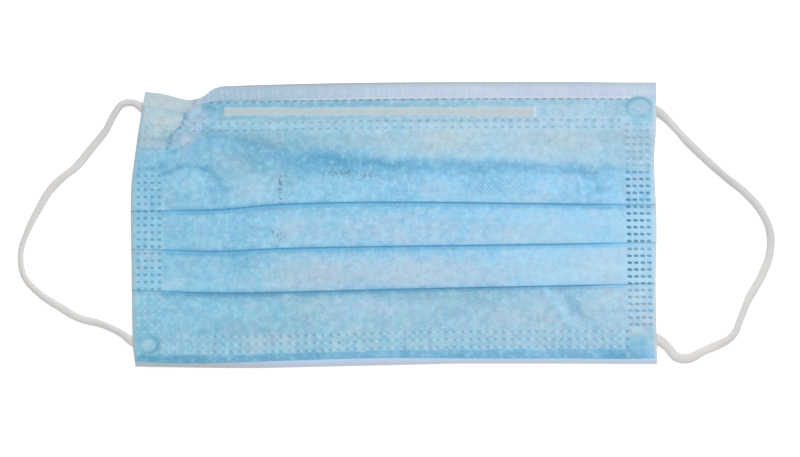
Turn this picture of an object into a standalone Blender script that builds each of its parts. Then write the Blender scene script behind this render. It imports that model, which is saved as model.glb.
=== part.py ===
"""A disposable pleated face mask, lying on a surface with its outer side up.

Metres, +Z up. +X runs along the mask's long side, +Y from the chin edge to the nose edge, and the
origin is under the middle of the mask body, on the surface. Left and right are as seen from above.
The outer layer is one sheet with three knife pleats that open downwards. The inner layer lies under
it, wraps over the nose edge onto the front and shows past the chin edge.
"""

from collections import namedtuple
import math

import bmesh
import bpy
import numpy as np

# The cloth: each layer's wall, and the gaps kept where two walls touch.
WALL = 0.0010
GAP = 0.0003
LAYER_GAP = 0.0004  # between the two layers, which slopes make narrower
RUN_PITCH = WALL + GAP + 0.00005  # one folded run above the next, with room for the runs' slope
FOLD_RADIUS = RUN_PITCH / 2  # of a fold's middle line
FOLD_REACH = FOLD_RADIUS + WALL / 2  # from a fold's centre to its outermost cloth
FOLD_STEPS = 4
INNER_HEIGHT = WALL / 2  # middle line of the inner layer where it lies on the surface
OUTER_HEIGHT = INNER_HEIGHT + WALL + LAYER_GAP

# The mask body's outline: its half width, and its four edges as smooth curves through a few places.
HALF_WIDTH = 0.0875
Place = namedtuple("Place", "along edge")
NOSE_EDGE = (
    Place(-HALF_WIDTH, 0.0443),
    Place(-0.0790, 0.0436),
    Place(-0.0690, 0.0416),
    Place(-0.0640, 0.0424),
    Place(-0.0600, 0.0452),
    Place(-0.0550, 0.0461),
    Place(0.0, 0.0473),
    Place(HALF_WIDTH, 0.0476),
)
CHIN_EDGE = (
    Place(-HALF_WIDTH, -0.0463),
    Place(-0.0820, -0.0475),
    Place(-0.0350, -0.0476),
    Place(0.0050, -0.0467),
    Place(HALF_WIDTH, -0.0467),
)
LEFT_EDGE = (
    Place(-0.0470, -0.0862),
    Place(-0.0400, -0.0870),
    Place(-0.0150, -0.0875),
    Place(0.0120, -0.0876),
    Place(0.0240, -0.0862),
    Place(0.0443, -0.0829),
)
RIGHT_EDGE = (
    Place(-0.0450, 0.0876),
    Place(-0.0200, 0.0872),
    Place(0.0, 0.0875),
    Place(0.0210, 0.0867),
    Place(0.0320, 0.0872),
    Place(0.0476, 0.0873),
)
EDGE_MARGIN = 0.0275  # how far in from a side edge the cloth follows that edge's line

# The pleats, from the chin up: the y of each visible fold at four places along x.
FOLD_PLACES = (-HALF_WIDTH, -0.0580, 0.0, HALF_WIDTH)
Pleat = namedtuple("Pleat", "name fold")
PLEATS = (
    Pleat("lower", (-0.0223, -0.0230, -0.0216, -0.0200)),
    Pleat("middle", (-0.0086, -0.0091, -0.0075, -0.0063)),
    Pleat("upper", (0.0040, 0.0048, 0.0072, 0.0062)),
)
TUCK_CLEARANCE = 0.0004  # a tuck ends this far below the fold above it
UPPER_TUCK = 0.0133  # depth of the upper pleat's tuck

# Hems: the inner layer's strip past the chin edge, and its turn over the nose edge.
CHIN_STRIP = 0.0020
NOSE_TURN = 0.0053
TURN_HEIGHT = OUTER_HEIGHT + WALL + LAYER_GAP
TURN_RADIUS = (TURN_HEIGHT - INNER_HEIGHT) / 2
TURN_REACH = TURN_RADIUS + WALL / 2
# Past a tuck the outer layer comes down in two stretches, and the inner layer steps up and follows.
DESCENT = (0.0035, 0.0075)
OUTER_DESCENT = 0.9  # runs that are left after the first stretch
INNER_STEP = 0.0010
INNER_STEP_RISE = 0.0008
INNER_DESCENT = 0.6  # share of the step that is left after the first stretch

# The nose wire lies in a channel between the two layers.
WIRE_LENGTH = 0.1038
WIRE_WIDTH = 0.0032
WIRE_THICKNESS = 0.0008
WIRE_CENTRE = (-0.0046, 0.0372)
WIRE_ROUNDING = 0.0002
WIRE_BELOW_EDGE = 0.0093  # the channel keeps at least this far from the nose edge
CHANNEL_HALF = 0.0021
CHANNEL_FOOT = 0.0039
CHANNEL_HEAD = 0.0034
CHANNEL_HEIGHT = INNER_HEIGHT + WALL + 2 * GAP + WIRE_THICKNESS

# Ear loops: round knitted elastic, laid on the surface, each end under a corner of the body.
LOOP_DIAMETER = 0.0025
LOOP_CLEARANCE = 0.00005
LOOP_SPACING = 2 * LOOP_DIAMETER
LEFT_ROUTE = (
    (-0.0783, 0.0353),
    (-0.0825, 0.0378),
    (-0.0867, 0.0405),
    (-0.0906, 0.0400),
    (-0.0934, 0.0363),
    (-0.0961, 0.0312),
    (-0.1009, 0.0252),
    (-0.1059, 0.0192),
    (-0.1107, 0.0154),
    (-0.1149, 0.0110),
    (-0.1187, 0.0046),
    (-0.1220, -0.0020),
    (-0.1243, -0.0091),
    (-0.1233, -0.0171),
    (-0.1181, -0.0231),
    (-0.1114, -0.0278),
    (-0.1050, -0.0315),
    (-0.0976, -0.0333),
    (-0.0911, -0.0366),
    (-0.0868, -0.0396),
    (-0.0810, -0.0406),
)
RIGHT_ROUTE = (
    (0.0820, 0.0385),
    (0.0877, 0.0370),
    (0.0924, 0.0335),
    (0.0979, 0.0274),
    (0.1050, 0.0206),
    (0.1109, 0.0154),
    (0.1169, 0.0106),
    (0.1223, 0.0044),
    (0.1253, -0.0028),
    (0.1253, -0.0108),
    (0.1224, -0.0183),
    (0.1187, -0.0247),
    (0.1159, -0.0315),
    (0.1138, -0.0368),
    (0.1107, -0.0394),
    (0.1033, -0.0426),
    (0.0982, -0.0449),
    (0.0940, -0.0441),
    (0.0909, -0.0406),
    (0.0877, -0.0377),
    (0.0823, -0.0364),
)
LOOP_BEVEL_RESOLUTION = 2  # eight sides

# Where the body isn't flat: it rises over the ends of the ear loops, a crumple runs down from the
# nose edge near the left corner, and the upper panel puffs up beside it.
CORNER_LIFT = 0.0030
CORNER_FLAT = 0.0092
CORNER_FADE = 0.0090
Swell = namedtuple("Swell", "x y length width turn height")
CRUMPLE = Swell(-0.0680, 0.0350, 0.0100, 0.0040, math.radians(60), 0.0026)
PUFF = Swell(-0.0655, 0.0120, 0.0100, 0.0060, 0.0, 0.0016)

# The cloth's grid: columns across the mask, closer together near the side edges, and rows a stretch.
COLUMNS = 24
END_CROWDING = 0.4
CHIN_PANEL_ROWS = 4
PANEL_ROWS = 3
NOSE_PANEL_ROWS = 2
SMOOTH_ANGLE = math.radians(40)

Finish = namedtuple("Finish", "colour roughness metallic")
OUTER_FINISH = Finish((0.36, 0.62, 0.80, 1), 0.85, 0.0)
INNER_FINISH = Finish((0.86, 0.87, 0.89, 1), 0.9, 0.0)
WIRE_FINISH = Finish((0.80, 0.80, 0.77, 1), 0.5, 0.0)
LOOP_FINISH = Finish((0.82, 0.80, 0.78, 1), 0.9, 0.0)


def through(places, values, at):
    """The value at a place on the smooth curve through the values, each slope set by its neighbours."""
    places, values = np.asarray(places, float), np.asarray(values, float)
    at = min(max(at, places[0]), places[-1])
    start = min(np.searchsorted(places, at, side="right"), len(places) - 1) - 1
    end = start + 1

    def slope(here):
        before, after = max(here - 1, 0), min(here + 1, len(places) - 1)
        return (values[after] - values[before]) / (places[after] - places[before])

    span = places[end] - places[start]
    t = (at - places[start]) / span
    return (
        values[start] * (1 + 2 * t) * (1 - t) ** 2
        + slope(start) * span * t * (1 - t) ** 2
        + values[end] * t * t * (3 - 2 * t)
        + slope(end) * span * t * t * (t - 1)
    )


def edge_at(edge, along):
    return float(through([p.along for p in edge], [p.edge for p in edge], along))


def fade(t):
    """1 at 0 and below, falling smoothly to 0 at 1."""
    t = min(max(t, 0.0), 1.0)
    return 1 - t * t * (3 - 2 * t)


def swell_at(swell, x, y):
    along = (x - swell.x) * math.cos(swell.turn) + (y - swell.y) * math.sin(swell.turn)
    across = (y - swell.y) * math.cos(swell.turn) - (x - swell.x) * math.sin(swell.turn)
    return swell.height * math.exp(-((along / swell.length) ** 2) - (across / swell.width) ** 2)


def relief(x, y):
    """How far both layers rise at x, y: over the ear loops' ends, and at the crumple."""
    exits = [route[near_end] for route in (LEFT_ROUTE, RIGHT_ROUTE) for near_end in (1, -2)]
    nearest = min(
        math.hypot(
            x - math.copysign(HALF_WIDTH, exit_x),
            max(0.0, (exit_y - y) * math.copysign(1, exit_y)),
        )
        for exit_x, exit_y in exits
    )
    return CORNER_LIFT * fade((nearest - CORNER_FLAT) / CORNER_FADE) + swell_at(CRUMPLE, x, y)


def follow_sides(x, y):
    """x moved so that the cloth ends on the outline of the left and right edges."""
    left = max(0.0, (EDGE_MARGIN - HALF_WIDTH - x) / EDGE_MARGIN) ** 2
    right = max(0.0, (x - HALF_WIDTH + EDGE_MARGIN) / EDGE_MARGIN) ** 2
    x += left * (edge_at(LEFT_EDGE, y) + HALF_WIDTH)
    x += right * (edge_at(RIGHT_EDGE, y) - HALF_WIDTH)
    return x


def fold_lines(x):
    """The y of each visible fold and of the end of its tuck, from the chin up."""
    folds = [float(through(FOLD_PLACES, pleat.fold, x)) for pleat in PLEATS]
    tucks = [fold - TUCK_CLEARANCE for fold in folds[1:]] + [folds[-1] + UPPER_TUCK]
    return folds, tucks


def half_turn(y, z, radius, way):
    """A half circle from below its centre to above it, out towards +y where way is 1."""
    angles = [math.pi * (step / FOLD_STEPS - 0.5) for step in range(FOLD_STEPS + 1)]
    return [(y + way * radius * math.cos(a), z + radius * math.sin(a)) for a in angles]


def between(start, end, count):
    """Evenly spaced numbers from start to just before end."""
    return [start + (end - start) * step / count for step in range(count)]


def channel_line(x):
    """The y of the middle of the nose wire's channel, which bends down with a low nose edge."""
    return min(WIRE_CENTRE[1], edge_at(NOSE_EDGE, x) - WIRE_BELOW_EDGE)


def run_under(number, folds, tucks, y):
    """Height of the outer layer's run under a pleat: level under the lower one, and under each of
    the others sinking from the top of the pleat below down to the inner layer."""
    if number == 0:
        return OUTER_HEIGHT
    high, low = tucks[number - 1], tucks[number] - FOLD_REACH
    share = (low - min(max(y, high), low)) / (low - high)
    return OUTER_HEIGHT + 2 * RUN_PITCH * share


def outer_profile(x):
    """The outer layer's middle line at x as (y, z, puffed), from the chin edge to the nose edge.

    Each pleat has three runs: the run under it, the tuck's return and the panel on top. The panel
    then sinks by two runs to become the run under the next pleat.
    """
    folds, tucks = fold_lines(x)
    chin = edge_at(CHIN_EDGE, x) + CHIN_STRIP
    line = [(y, OUTER_HEIGHT, 0) for y in between(chin, folds[0], CHIN_PANEL_ROWS)]
    for number, (fold, tuck) in enumerate(zip(folds, tucks)):
        front, back = fold + FOLD_REACH, tuck - FOLD_REACH
        middle = (front + back) / 2
        below = tucks[number - 1] if number else fold
        puffed = number == len(PLEATS) - 1
        tuck_turn = half_turn(back, OUTER_HEIGHT + FOLD_RADIUS, FOLD_RADIUS, 1)
        fold_height = run_under(number, folds, tucks, front) + RUN_PITCH + FOLD_RADIUS
        line += [(y, run_under(number, folds, tucks, y), 0) for y in (below, middle)]
        line += [(y, z, 0) for y, z in tuck_turn]
        line += [(middle, run_under(number, folds, tucks, middle) + RUN_PITCH, 0)]
        line += [(y, z, puffed) for y, z in half_turn(front, fold_height, FOLD_RADIUS, -1)]
        line += [
            (y, run_under(number, folds, tucks, y) + 2 * RUN_PITCH, puffed)
            for y in between(front, tuck, PANEL_ROWS)[1:]
        ]
    last = tucks[-1]
    channel = channel_line(x)
    foot = channel - CHANNEL_FOOT
    nose = edge_at(NOSE_EDGE, x)
    line += [
        (last, OUTER_HEIGHT + 2 * RUN_PITCH, 1),
        (last + DESCENT[0], OUTER_HEIGHT + OUTER_DESCENT * RUN_PITCH, 1),
    ]
    line += [(y, OUTER_HEIGHT, 1) for y in between(last + DESCENT[1], foot, NOSE_PANEL_ROWS)]
    line += [
        (foot, OUTER_HEIGHT, 0),
        (channel - CHANNEL_HALF, CHANNEL_HEIGHT + WALL / 2, 0),
        (channel + CHANNEL_HALF, CHANNEL_HEIGHT + WALL / 2, 0),
        (channel + CHANNEL_HEAD, OUTER_HEIGHT, 0),
        (nose - NOSE_TURN, OUTER_HEIGHT, 0),
        (nose - TURN_REACH - GAP, OUTER_HEIGHT, 0),
    ]
    return line


def inner_profile(x):
    """The inner layer's middle line at x as (y, z, puffed), up and over the nose edge.

    Its rows stand at the outer layer's, so that both layers rise alike where they rise.
    """
    folds, tucks = fold_lines(x)
    chin = edge_at(CHIN_EDGE, x)
    channel = channel_line(x)
    foot = channel - CHANNEL_FOOT
    nose = edge_at(NOSE_EDGE, x)
    level = [chin, *between(chin + CHIN_STRIP, folds[0], CHIN_PANEL_ROWS), folds[0]]
    line = [(y, INNER_HEIGHT, 0) for y in level]
    for tuck in tucks:
        line += [
            (tuck, INNER_HEIGHT, 0),
            (tuck + INNER_STEP_RISE, INNER_HEIGHT + INNER_STEP, 0),
            (tuck + DESCENT[0], INNER_HEIGHT + INNER_DESCENT * INNER_STEP, 0),
            (tuck + DESCENT[1], INNER_HEIGHT, 0),
        ]
    level = between(tucks[-1] + DESCENT[1], foot, NOSE_PANEL_ROWS)[1:]
    level += [foot, channel - CHANNEL_HALF, channel + CHANNEL_HALF, channel + CHANNEL_HEAD]
    line += [(y, INNER_HEIGHT, 0) for y in (*level, nose - NOSE_TURN)]
    middle = (INNER_HEIGHT + TURN_HEIGHT) / 2
    line += [(y, z, 0) for y, z in half_turn(nose - TURN_REACH, middle, TURN_RADIUS, 1)]
    line += [(nose - NOSE_TURN, TURN_HEIGHT, 0)]
    return line


def material(name, finish):
    made = bpy.data.materials.new(name)
    made.use_nodes = True
    shader = made.node_tree.nodes["Principled BSDF"]
    shader.inputs["Base Color"].default_value = finish.colour
    shader.inputs["Roughness"].default_value = finish.roughness
    shader.inputs["Metallic"].default_value = finish.metallic
    made.diffuse_color = finish.colour
    return made


def place(name, data, finish, collection):
    piece = bpy.data.objects.new(name, data)
    data.materials.append(material(name + "_finish", finish))
    collection.objects.link(piece)
    return piece


def column_at(share):
    """x of a column of the cloth, its share running from -1 to 1 across the mask."""
    even, crowded = share, math.sin(share * math.pi / 2)
    return HALF_WIDTH * ((1 - END_CROWDING) * even + END_CROWDING * crowded)


def cloth(name, profile, finish, collection):
    """A layer of cloth: a grid whose rows follow the profile at each column, given a wall."""
    rows = len(profile(0.0))
    form = bmesh.new()
    bmesh.ops.create_grid(form, x_segments=COLUMNS, y_segments=rows - 1, size=1)
    profiles = {}
    for vertex in form.verts:
        column = round((vertex.co.x + 1) / 2 * COLUMNS)
        row = round((vertex.co.y + 1) / 2 * (rows - 1))
        x = column_at(2 * column / COLUMNS - 1)
        if column not in profiles:
            profiles[column] = profile(x)
        y, z, puffed = profiles[column][row]
        z += relief(x, y) + (swell_at(PUFF, x, y) if puffed else 0)
        vertex.co = (follow_sides(x, y), y, z)
    data = bpy.data.meshes.new(name)
    form.to_mesh(data)
    form.free()
    data.shade_smooth()
    data.set_sharp_from_angle(angle=SMOOTH_ANGLE)
    piece = place(name, data, finish, collection)
    wall = piece.modifiers.new("wall", "SOLIDIFY")
    wall.thickness = WALL
    wall.offset = 0
    wall.use_even_offset = True
    return piece


def nose_wire(collection):
    bpy.ops.mesh.primitive_cube_add(size=1)
    data = bpy.context.object.data
    bpy.data.objects.remove(bpy.context.object)
    data.name = "nose_wire"
    for vertex in data.vertices:
        x, y, z = vertex.co
        vertex.co = (x * WIRE_LENGTH, y * WIRE_WIDTH, z * WIRE_THICKNESS)
    piece = place("nose_wire", data, WIRE_FINISH, collection)
    piece.location = (*WIRE_CENTRE, INNER_HEIGHT + WALL / 2 + GAP + WIRE_THICKNESS / 2)
    edges = piece.modifiers.new("edges", "BEVEL")
    edges.width = WIRE_ROUNDING
    edges.segments = 2


def ear_loop(name, route, collection):
    """A cord on the smooth curve through its route, laid on the surface."""
    route = np.array(route)
    along = np.concatenate([[0], np.cumsum(np.linalg.norm(np.diff(route, axis=0), axis=1))])
    count = round(along[-1] / LOOP_SPACING) + 1
    points = [through(along, route, at) for at in np.linspace(0, along[-1], count)]
    data = bpy.data.curves.new(name, "CURVE")
    data.dimensions = "3D"
    data.bevel_depth = LOOP_DIAMETER / 2
    data.bevel_resolution = LOOP_BEVEL_RESOLUTION
    data.use_fill_caps = True
    line = data.splines.new("POLY")
    line.points.add(len(points) - 1)
    for point, (x, y) in zip(line.points, points):
        point.co = (x, y, LOOP_DIAMETER / 2 + LOOP_CLEARANCE, 1)
    place(name, data, LOOP_FINISH, collection)


def main():
    for leftover in list(bpy.data.objects):
        bpy.data.objects.remove(leftover)
    mask = bpy.data.collections.new("disposable_face_mask")
    bpy.context.scene.collection.children.link(mask)
    cloth("inner_layer", inner_profile, INNER_FINISH, mask)
    cloth("outer_layer", outer_profile, OUTER_FINISH, mask)
    nose_wire(mask)
    ear_loop("ear_loop_left", LEFT_ROUTE, mask)
    ear_loop("ear_loop_right", RIGHT_ROUTE, mask)


main()
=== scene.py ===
"""Looks for a disposable pleated face mask: its cloth, its nose wire and its two ear loops.

Metres, +Z up, in the CAD's frame: +X along the mask, +Y from the chin edge to the nose edge, and
the blue outer side up. Left and right are as seen from above.
"""

from collections import namedtuple
import math

import bmesh
import bpy
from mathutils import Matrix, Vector, noise
import numpy as np


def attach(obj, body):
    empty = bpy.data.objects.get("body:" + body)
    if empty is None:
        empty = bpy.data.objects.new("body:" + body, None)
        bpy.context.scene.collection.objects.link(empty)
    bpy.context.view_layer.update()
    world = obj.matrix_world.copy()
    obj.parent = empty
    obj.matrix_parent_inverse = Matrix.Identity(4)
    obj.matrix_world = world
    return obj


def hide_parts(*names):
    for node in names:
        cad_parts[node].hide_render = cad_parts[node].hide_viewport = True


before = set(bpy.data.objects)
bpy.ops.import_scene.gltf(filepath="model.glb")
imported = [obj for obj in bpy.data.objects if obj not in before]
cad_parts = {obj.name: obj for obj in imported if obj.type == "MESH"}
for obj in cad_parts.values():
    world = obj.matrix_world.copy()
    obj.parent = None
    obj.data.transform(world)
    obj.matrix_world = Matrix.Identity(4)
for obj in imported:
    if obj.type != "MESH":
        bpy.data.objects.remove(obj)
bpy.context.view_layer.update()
bpy.ops.object.select_all(action="DESELECT")

MM = 0.001


def metres(*rows):
    """Rows of millimetres as rows of metres, to a tenth of a micrometre."""
    return tuple(tuple(round(value * MM, 7) for value in row) for row in rows)


# ---------------------------------------------------------------- sizes that the CAD has too

HALF_WIDTH = 0.0875
# The outline: (x, y) along the nose and chin edges and (y, x) up the sides. The cloth's columns
# are moved to meet the sides over a margin.
NOSE_EDGE = metres(
    (-87.5, 44.3), (-79, 43.6), (-69, 41.6), (-64, 42.4), (-60, 45.2), (-55, 46.1), (0, 47.3),
    (87.5, 47.4),
)
CHIN_EDGE = metres((-87.5, -47.3), (-82, -47.5), (-35, -47.6), (5, -46.7), (87.5, -46.7))
LEFT_EDGE = metres(
    (-47, -86.2), (-40, -87), (-15, -87.5), (12, -87.6), (24, -86.2), (44.3, -82.9),
)
RIGHT_EDGE = metres((-45, 87.6), (-20, 87.2), (0, 87.5), (21, 86.7), (32, 87.2), (47.6, 87.3))
EDGE_MARGIN = 0.0275
# The lower edges of the three folds: x, then the y of each there.
FOLDS = metres(
    (-87.5, -22.3, -8.6, 4), (-58, -23, -9.1, 4.8), (-37.5, -22.8, -8.2, 6.5),
    (0, -21.8, -7.5, 7.2), (87.5, -20, -6.3, 6.2),
)
TUCK_CLEARANCE = 0.0004
UPPER_TUCK = 0.0133  # how far the uppermost fold's tuck reaches above its edge
WIRE_LENGTH = 0.1038
WIRE_WIDTH = 0.0032
WIRE_CENTRE = (-0.0046, 0.0372)
LEFT_ROUTE = metres(
    (-78.3, 35.3), (-82.5, 37.8), (-86.7, 40.5), (-90.6, 40), (-93.4, 36.3), (-96.1, 31.2),
    (-100.9, 25.2), (-105.9, 19.2), (-110.7, 15.4), (-114.9, 11), (-118.7, 4.6), (-122, -2),
    (-124.3, -9.1), (-123.3, -17.1), (-118.1, -23.1), (-111.4, -27.5), (-105, -31.2),
    (-97.6, -33.2), (-91.1, -36.2), (-86.8, -39.3), (-81, -40.6),
)
RIGHT_ROUTE = metres(
    (82, 39.8), (87.7, 37.7), (92.4, 33.5), (97.9, 27.4), (105, 20.6), (110.9, 15.4),
    (116.9, 10.6), (122.3, 4.4), (125.3, -2.8), (124.9, -10.7), (122, -18), (118.3, -24.4),
    (115.5, -31.3), (113.3, -36.4), (110.2, -39), (103.2, -42.1), (98.1, -44.6), (94, -44.1),
    (90.9, -40.6), (87.7, -38.2), (82.3, -36.6),
)

# ---------------------------------------------------------------- sizes of the cloth shown

WALL = 0.00014  # a layer of nonwoven
CLEAR = 0.00002  # least gap between the lining and the surface
LAYER_HALF = 0.00009  # from the middle of the two layers to the middle of either
# Where the lining ends at the chin and, above it, where the outer layer ends.
LINING_END = metres(
    (-87.5, -47.4), (-50, -47.9), (-23, -47.4), (4, -46.8), (24, -46.4), (87.5, -46.5),
)
OUTER_END = metres(
    (-87.5, -45.5), (-76, -46.1), (-64, -46.1), (-36, -45.3), (-4, -44.4), (36, -44.6),
    (56, -44.5), (77, -44.8), (87.5, -44.5),
)
# How far the lining's turn reaches down the front below the nose edge, less where it is caught.
TURN_DEPTH = metres((-87.5, 4.7), (-56, 4.7), (-25, 5.5), (10, 5.5), (87.5, 5.4))
TURN_CAUGHT = (-0.0648, 0.0032, 0.55)  # x, width and the share of the depth lost
GROUND = 0.00040  # middle of the two layers where they lie on the surface
NOSE_RISE = 0.00130  # how much higher they are round the nose wire
NOSE_SLOPE = (0.0255, 0.0315)  # the y over which they rise to it
PITCH_MIDDLE = 0.00046  # a run above the one under it, in the middle of the mask
PITCH_SIDE = 0.00017  # and where the side seams press the pleats flat
PRESSED = 0.42  # how thick the layers are there, of their thickness in the middle
FOLD_SHOWN = 0.00040  # a fold's edge is this far above the middle of the shadow under it
SEAM_BAND = 0.0100  # the pleats are pressed this far in from the side
PRESS_FADE = 0.0160  # and come free over this width
CELL = 0.00117  # the cloth's grid
FINE_CUTS = 2  # cuts across a cell where the cloth is worked finely
# Rows of the grid across each part of the fold.
HEM_ROWS, CHIN_ROWS, HIDDEN_ROWS, PANEL_ROWS, NOSE_ROWS, FLAP_ROWS = 2, 20, 5, 11, 24, 6
TURN_STEPS = 6
TUCK_SLOPE = (-0.0010, 0.0040)  # where the cloth comes down, from the uppermost tuck's end
FRONT_TURN = -0.6  # the rows of a turn above this angle are seen from the front
CHANNEL_RISE = 0.00055  # the outer layer over the nose wire, and the inner one under it
CHANNEL_SIDE = (0.0001, 0.0011)  # where it falls away, from the wire's side
CHANNEL_END = (0.0002, 0.0014)  # and from its end
END_WALL = 0.2  # the wall's thickness along a layer's upper end, of its full thickness
DENT = 0.00010  # depth of a weld mark
CHIN_DRIFT = 0.0011  # the chin's weld marks are this much further from the edge at the right
BELOW, ABOVE = -math.pi / 2, math.pi / 2

# The weld marks: rows of short dashes, each row repeating along one direction. Those of the nose
# are measured down from the hem line, and those of the chin up from its edge.
HEM_LINE = metres((-87.5, 46), (-55, 46.2), (0, 47.2), (87.5, 47.5))
Welds = namedtuple(
    "Welds", "start end pitch row_start row_end row_pitch half_length half_width slant"
)
NOSE_WELD = Welds(-0.0622, 0.0780, 0.00277, 0.00455, 0.00685, 0.00230, 0.00088, 0.00034, 0.3)
WIRE_WELDS = Welds(-0.0678, 0.0753, 0.00277, 0.01165, 0.01625, 0.00230, 0.00062, 0.00036, 0.3)
CHIN_WELDS = Welds(-0.0776, 0.0790, 0.00275, 0.00364, 0.01120, 0.00252, 0.00050, 0.00043, 0.25)
LEFT_WELDS = Welds(-0.08643, -0.07710, 0.002333, -0.03695, 0.0335, 0.00236, 0.00060, 0.00046, 0.1)
RIGHT_WELDS = Welds(0.07677, 0.08553, 0.002190, -0.0342, 0.0334, 0.00229, 0.00078, 0.00046, 0.2)
MARK_EDGE = (0.35, 1.5)  # where a mark begins to fade and ends, on its rounded oblong
# The right side's columns lean, from this y and by this share. Its rows step down by this much
# where -y is between these.
RIGHT_LEAN = (0.0170, 0.02)
RIGHT_LOWERED = 0.00037
RIGHT_BREAK = (0.0065, 0.0072)
# Rows of the sides' marks beside a fold: y, and how much lighter each is.
LEFT_LIGHTER = ((0.0044, 0.30), (-0.0098, 0.45), (-0.0216, 0.45))
RIGHT_LIGHTER = ((0.0173, 0.38), (0.0059, 0.35), (-0.0079, 0.55), (-0.0193, 0.42))
# The rings round the ends of the ear loops: ovals, each pressed hardest towards one side.
Ring = namedtuple("Ring", "x y radius flattened toward_x toward_y strength")
RINGS = (
    Ring(0.0815, 0.0388, 0.0041, 1.27, -0.35, 0.93, 0.95),
    Ring(0.0815, -0.0363, 0.0041, 1.00, 0.30, -0.95, 0.22),
    Ring(-0.0820, -0.0402, 0.0033, 1.20, 0.85, -0.50, 0.90),
    Ring(-0.0783, 0.0353, 0.0041, 1.00, 0.90, 0.30, 0.15),
)
RING_WIDTH = 0.0013

# ---------------------------------------------------------------- numbers made by shader nodes


class Value:
    """A socket that takes part in Python expressions, each of which adds its Math node."""

    def __init__(self, finish, socket):
        self.finish, self.socket = finish, socket

    def __add__(self, other):
        return self.finish.maths("ADD", self, other)

    def __sub__(self, other):
        return self.finish.maths("SUBTRACT", self, other)

    def __rsub__(self, other):
        return self.finish.maths("SUBTRACT", other, self)

    def __mul__(self, other):
        return self.finish.maths("MULTIPLY", self, other)

    def __truediv__(self, other):
        return self.finish.maths("DIVIDE", self, other)


class Finish:
    """A material whose Principled shader is fed by expressions on Values."""

    def __init__(self, name, **constants):
        self.material = bpy.data.materials.new(name)
        self.material.use_nodes = True
        self.tree = self.material.node_tree
        self.shader = self.tree.nodes["Principled BSDF"]
        self.colour = None
        for socket, value in constants.items():
            self.shader.inputs[socket.replace("_", " ")].default_value = value

    def node(self, kind, settings, inputs, output=0):
        made = self.tree.nodes.new(kind)
        for name, value in settings.items():
            setattr(made, name, value)
        for key, value in inputs.items():
            self.feed(made.inputs[key], value)
        return Value(self, made.outputs[output])

    def feed(self, socket, value):
        if isinstance(value, Value):
            self.tree.links.new(value.socket, socket)
        else:
            socket.default_value = value

    def maths(self, operation, *values):
        return self.node("ShaderNodeMath", {"operation": operation}, dict(enumerate(values)))

    def parts(self, vector):
        node = self.tree.nodes.new("ShaderNodeSeparateXYZ")
        self.feed(node.inputs[0], vector)
        return [Value(self, output) for output in node.outputs]

    def attribute(self, name):
        return self.node("ShaderNodeAttribute", {"attribute_name": name}, {}, "Vector")

    def read(self, name):
        return self.parts(self.attribute(name))

    def place(self):
        return self.node("ShaderNodeTexCoord", {}, {}, "Object")

    def clouds(self, vector, size, detail=2.0, roughness=0.5):
        """Noise from 0 to 1 with soft features of this size."""
        inputs = {"Vector": vector, "Scale": 1 / size, "Detail": detail, "Roughness": roughness}
        return self.node("ShaderNodeTexNoise", {}, inputs)

    def streaks(self, vector, length, width, turn, detail=1.0):
        """Noise from 0 to 1 drawn out into streaks."""
        inputs = {"Vector": vector, "Rotation": (0, 0, turn), "Scale": (length, width, width)}
        stretched = self.node("ShaderNodeMapping", {"vector_type": "TEXTURE"}, inputs)
        return self.clouds(stretched, 1.0, detail, 0.6)

    def blend(self, share, start, end):
        settings = {"data_type": "RGBA", "blend_type": "MIX", "clamp_factor": True}
        return self.node("ShaderNodeMix", settings, {0: share, 6: start, 7: end}, 2)

    def over(self, share, colour):
        """Lays a colour over the material's colour so far, by this share."""
        self.colour = self.blend(share, self.colour, colour)

    def done(self, roughness, height):
        """Feeds the shader its colour, its roughness, and a bump from a height in metres."""
        self.feed(self.shader.inputs["Base Color"], self.colour)
        self.feed(self.shader.inputs["Roughness"], roughness)
        bump = self.node("ShaderNodeBump", {}, {"Height": height, "Distance": 1.0, "Strength": 1.0})
        self.feed(self.shader.inputs["Normal"], bump)
        return self.material


# ---------------------------------------------------------------- curves and soft steps


def for_both(operation, on_arrays):
    """A function that works on arrays, for the mesh, and on Values, for a material."""

    def function(first, *others):
        if isinstance(first, Value):
            return first.finish.maths(operation, first, *others)
        return on_arrays(first, *others)

    return function


fraction = for_both("FRACT", lambda value: value - np.floor(value))
size_of = for_both("ABSOLUTE", np.abs)
root = for_both("SQRT", np.sqrt)
larger = for_both("MAXIMUM", np.maximum)
above = for_both("GREATER_THAN", lambda value, low: (value > low).astype(float))
under = for_both("LESS_THAN", lambda value, high: (value < high).astype(float))


def rise(value, low, high):
    """0 up to low, rising smoothly to 1 at high."""
    if isinstance(value, Value):
        settings = {"interpolation_type": "SMOOTHSTEP"}
        inputs = {"Value": value, "From Min": low, "From Max": high}
        return value.finish.node("ShaderNodeMapRange", settings, inputs)
    t = np.clip((value - low) / (high - low), 0.0, 1.0)
    return t * t * (3 - 2 * t)


def from_middle(value, pitch):
    """How far a value is from the middle of the step that it is in, of steps of this pitch."""
    return (fraction(value / pitch) - 0.5) * pitch


def fall(value, low, high):
    """1 up to low, falling smoothly to 0 at high."""
    return 1 - rise(value, low, high)


def stripe(value, low, high, soft):
    """1 between low and high, falling to 0 over a soft edge."""
    half = soft / 2
    return rise(value, low - half, low + half) * fall(value, high - half, high + half)


def bell(distance, width):
    return np.exp(-((distance / width) ** 2))


def oval(x, y, middle_x, middle_y, length, width, turn=0):
    """1 in the middle of an oval in millimetres and degrees, fading to 0 outside it."""
    x, y, turn = x - middle_x * MM, y - middle_y * MM, math.radians(turn)
    along = x * math.cos(turn) + y * math.sin(turn)
    across = y * math.cos(turn) - x * math.sin(turn)
    return bell(along, length * MM) * bell(across, width * MM)


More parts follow.
